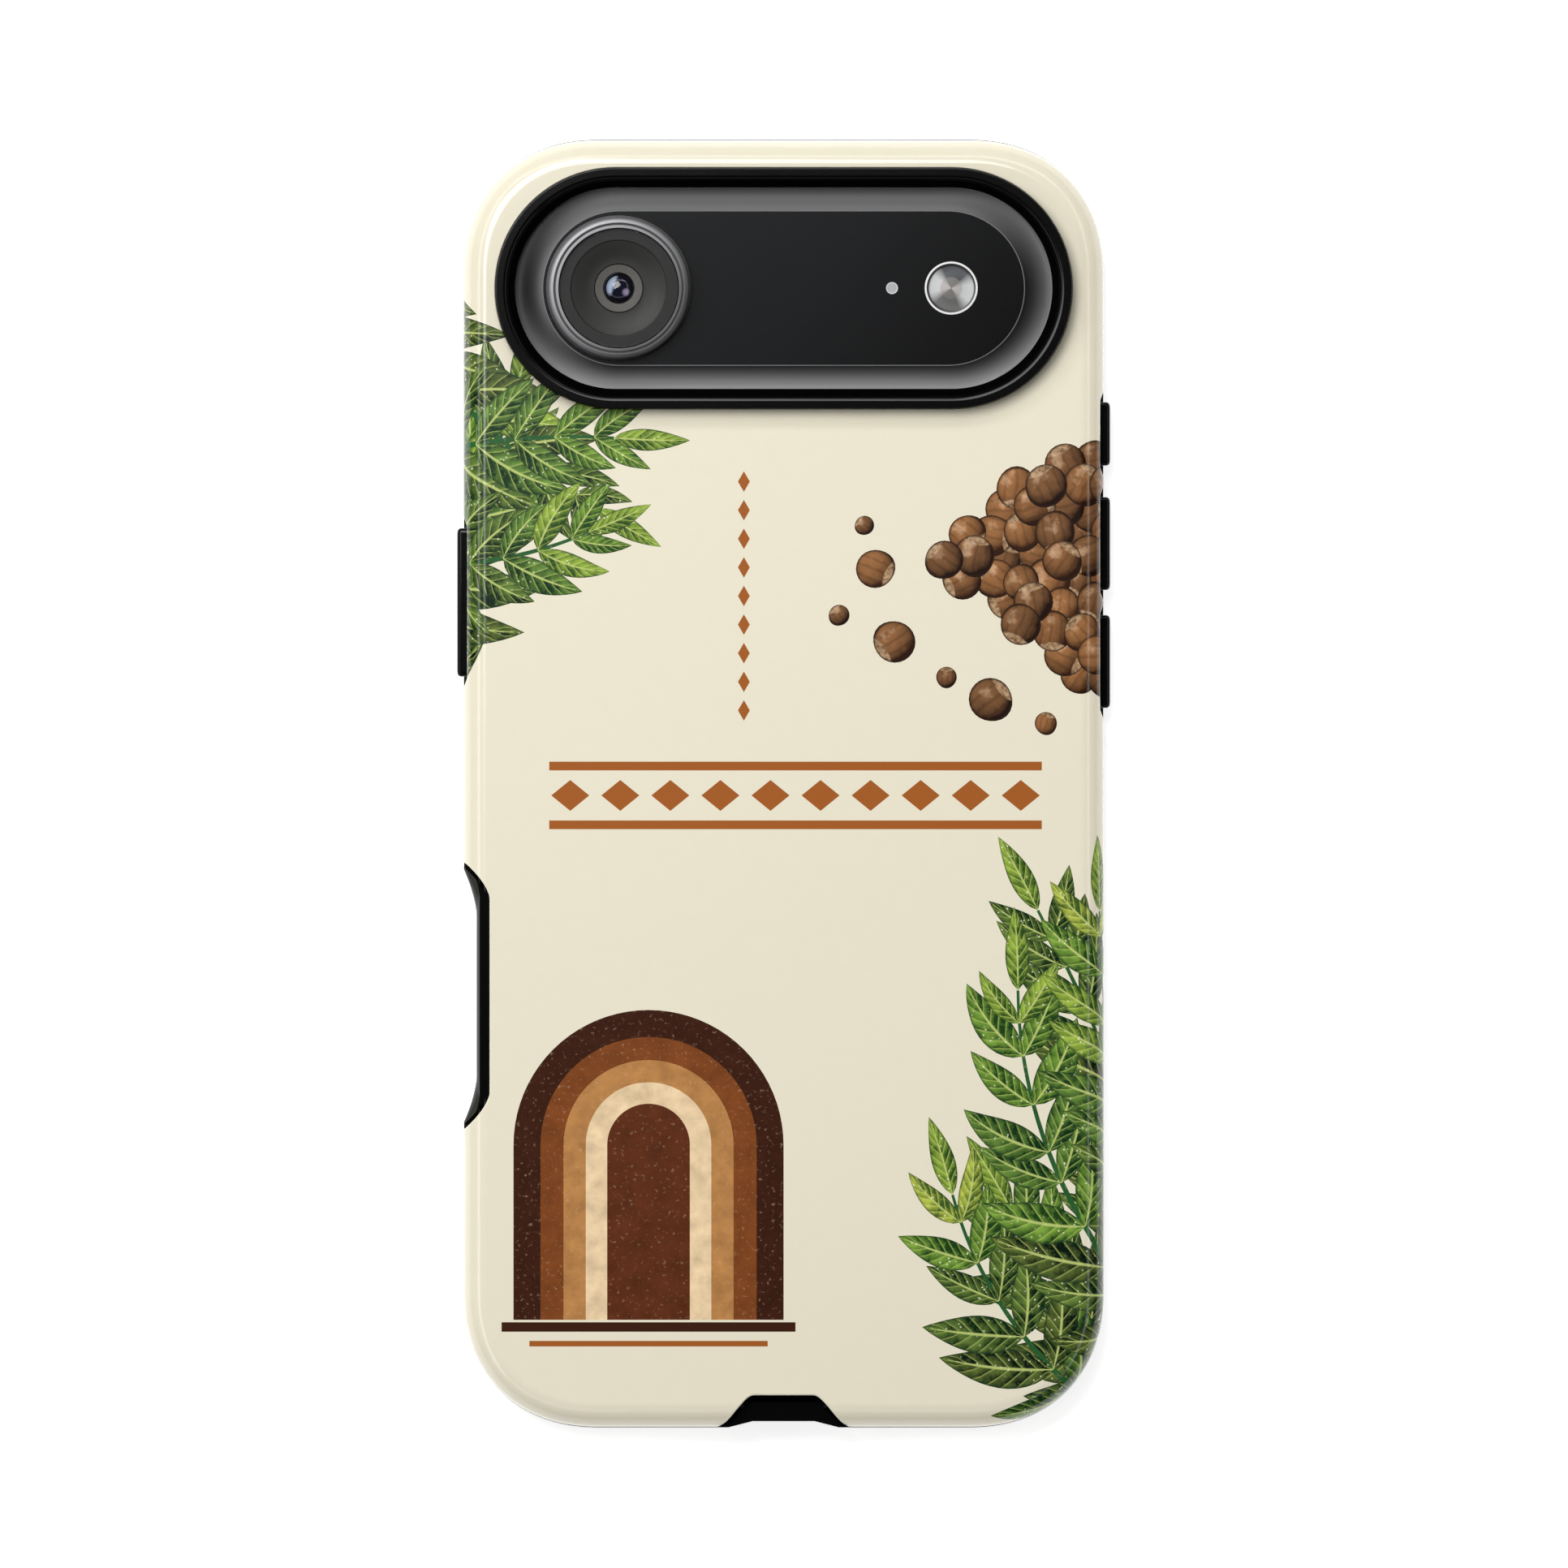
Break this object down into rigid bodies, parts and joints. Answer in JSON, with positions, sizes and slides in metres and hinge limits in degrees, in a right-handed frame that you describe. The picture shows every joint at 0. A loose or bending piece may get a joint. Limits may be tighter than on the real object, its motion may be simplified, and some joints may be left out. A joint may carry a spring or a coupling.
{
  "type": "smartphone in a tough case",
  "caption": "Smartphone in a hard printed shell over a soft black liner, with a raised camera ring, moulded button covers, side scoop and port notch; lies on its screen.",
  "frame": {"origin": "on the floor under the middle of the bounding box; the case lies on its front lip, screen down", "axes": "+Y towards the camera end, +Z out of the printed back, +X to the right when the back is looked at"},
  "size_m": [0.0822, 0.1622, 0.0126],
  "materials": {
    "printed_shell": "glossy cream polycarbonate with a printed leaf and nut pattern",
    "soft_liner": "black soft plastic, satin",
    "frame_metal": "dark polished metal",
    "front_glass": "black glossy glass",
    "back_glass": "dark blue-black glass, satin on the plateau's flank",
    "lens_metal": "grey turned metal",
    "lens_glass": "dark polished glass",
    "barrel_black": "matt black with a grey cone",
    "coated_glass": "blue coated glass",
    "flash_rim": "white rim",
    "flash_reflector": "silver, brushed in circles",
    "microphone_rim": "light grey mesh in a bright rim"
  },
  "bodies": {
    "root": {"shell": "printed_shell", "liner": "soft_liner", "phone_frame": "frame_metal", "touch_key": "front_glass", "screen": "front_glass", "back_glass": "back_glass", "lens_ring": "lens_metal", "lens_glass": "lens_glass", "lens_barrel": "barrel_black", "lens_element": "coated_glass", "flash_ring": "flash_rim", "flash_window": "flash_reflector", "microphone": "microphone_rim"}
  },
  "joints": []
}
